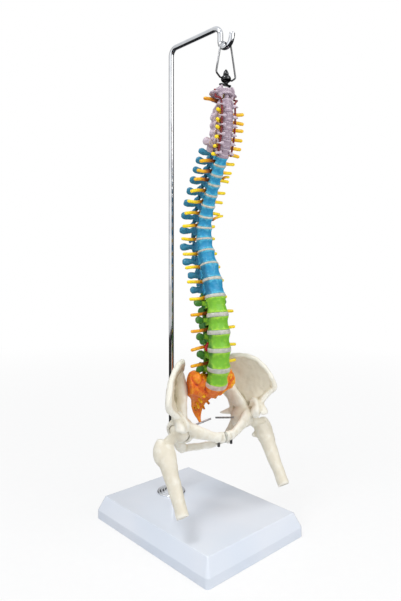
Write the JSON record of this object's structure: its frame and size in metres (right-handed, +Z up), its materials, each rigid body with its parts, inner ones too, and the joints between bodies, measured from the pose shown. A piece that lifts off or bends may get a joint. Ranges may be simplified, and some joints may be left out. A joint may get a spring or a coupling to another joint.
{
  "type": "spine anatomy model",
  "caption": "Coloured teaching model of a flexible spine with pelvis and femur stumps, hung by a wire link from a bent chrome rod on a moulded base.",
  "frame": {"origin": "middle of the base's underside, on the surface that it stands on", "axes": "+Z up; the front of the body faces -Y and its left side +X"},
  "size_m": [0.1592, 0.1924, 0.5684],
  "materials": {
    "base_plastic": "glossy moulded pale bluish white",
    "base_underplate": "plain matt sheet",
    "chrome": "polished",
    "steel": "satin",
    "cervical_lilac": "painted satin lilac",
    "thoracic_blue": "painted satin blue",
    "lumbar_green": "painted satin green",
    "sacral_orange": "painted satin orange with yellow and red-brown shading",
    "bone_ivory": "satin ivory bone colour",
    "disc_pale": "soft satin grey-white",
    "cervical_disc": "soft satin pale lilac",
    "prolapse_red": "soft satin red",
    "nerve_yellow": "soft satin yellow, orange-brown at the root",
    "cord_cream": "soft satin cream yellow",
    "artery_red": "soft satin dark red"
  },
  "bodies": {
    "stand_and_spine": {"acorn_nut": "chrome", "base_plate": "base_underplate", "base_screws": "steel", "base_shell": "base_plastic", "cervical_discs": "cervical_disc", "cervical_nerves": "nerve_yellow", "core_rod": "steel", "disc_l1_l2": "disc_pale", "disc_l2_l3": "disc_pale", "disc_l3_l4": "disc_pale", "disc_l4_l5": "disc_pale", "disc_l5_s1": "disc_pale", "disc_prolapse": "prolapse_red", "disc_t12_l1": "disc_pale", "hanger_link": "chrome", "hip_bone_left": "bone_ivory", "hip_bone_right": "bone_ivory", "lumbar_nerves": "nerve_yellow", "pubic_disc": "disc_pale", "pubic_screws": "steel", "rod_flange": "chrome", "rod_nut": "steel", "rod_washer": "steel", "sacral_nerves": "nerve_yellow", "sacrum": "sacral_orange", "spinal_cord": "cord_cream", "support_rod": "chrome", "thoracic_discs": "disc_pale", "thoracic_nerves": "nerve_yellow", "top_fitting": "chrome", "vertebra_c1": "cervical_lilac", "vertebra_c2": "cervical_lilac", "vertebra_c3": "cervical_lilac", "vertebra_c4": "cervical_lilac", "vertebra_c5": "cervical_lilac", "vertebra_c6": "cervical_lilac", "vertebra_c7": "cervical_lilac", "vertebra_l1": "lumbar_green", "vertebra_l2": "lumbar_green", "vertebra_l3": "lumbar_green", "vertebra_l4": "lumbar_green", "vertebra_l5": "lumbar_green", "vertebra_t1": "thoracic_blue", "vertebra_t10": "thoracic_blue", "vertebra_t11": "thoracic_blue", "vertebra_t12": "thoracic_blue", "vertebra_t2": "thoracic_blue", "vertebra_t3": "thoracic_blue", "vertebra_t4": "thoracic_blue", "vertebra_t5": "thoracic_blue", "vertebra_t6": "thoracic_blue", "vertebra_t7": "thoracic_blue", "vertebra_t8": "thoracic_blue", "vertebra_t9": "thoracic_blue", "vertebral_arteries": "artery_red"},
    "left_femur": {"femur_left": "bone_ivory", "femur_pin_left": "steel"},
    "right_femur": {"femur_right": "bone_ivory", "femur_pin_right": "steel"}
  },
  "joints": [
    {"name": "left_hip", "type": "hinge", "parent": "stand_and_spine", "child": "left_femur", "pos_m": [0.04684, -0.03085, 0.1235], "axis": [0.9775, -0.1374, -0.1599], "range_deg": [-25, 30]},
    {"name": "right_hip", "type": "hinge", "parent": "stand_and_spine", "child": "right_femur", "pos_m": [-0.0403, -0.01861, 0.1235], "axis": [0.9775, -0.1374, 0.1599], "range_deg": [-25, 30]}
  ]
}
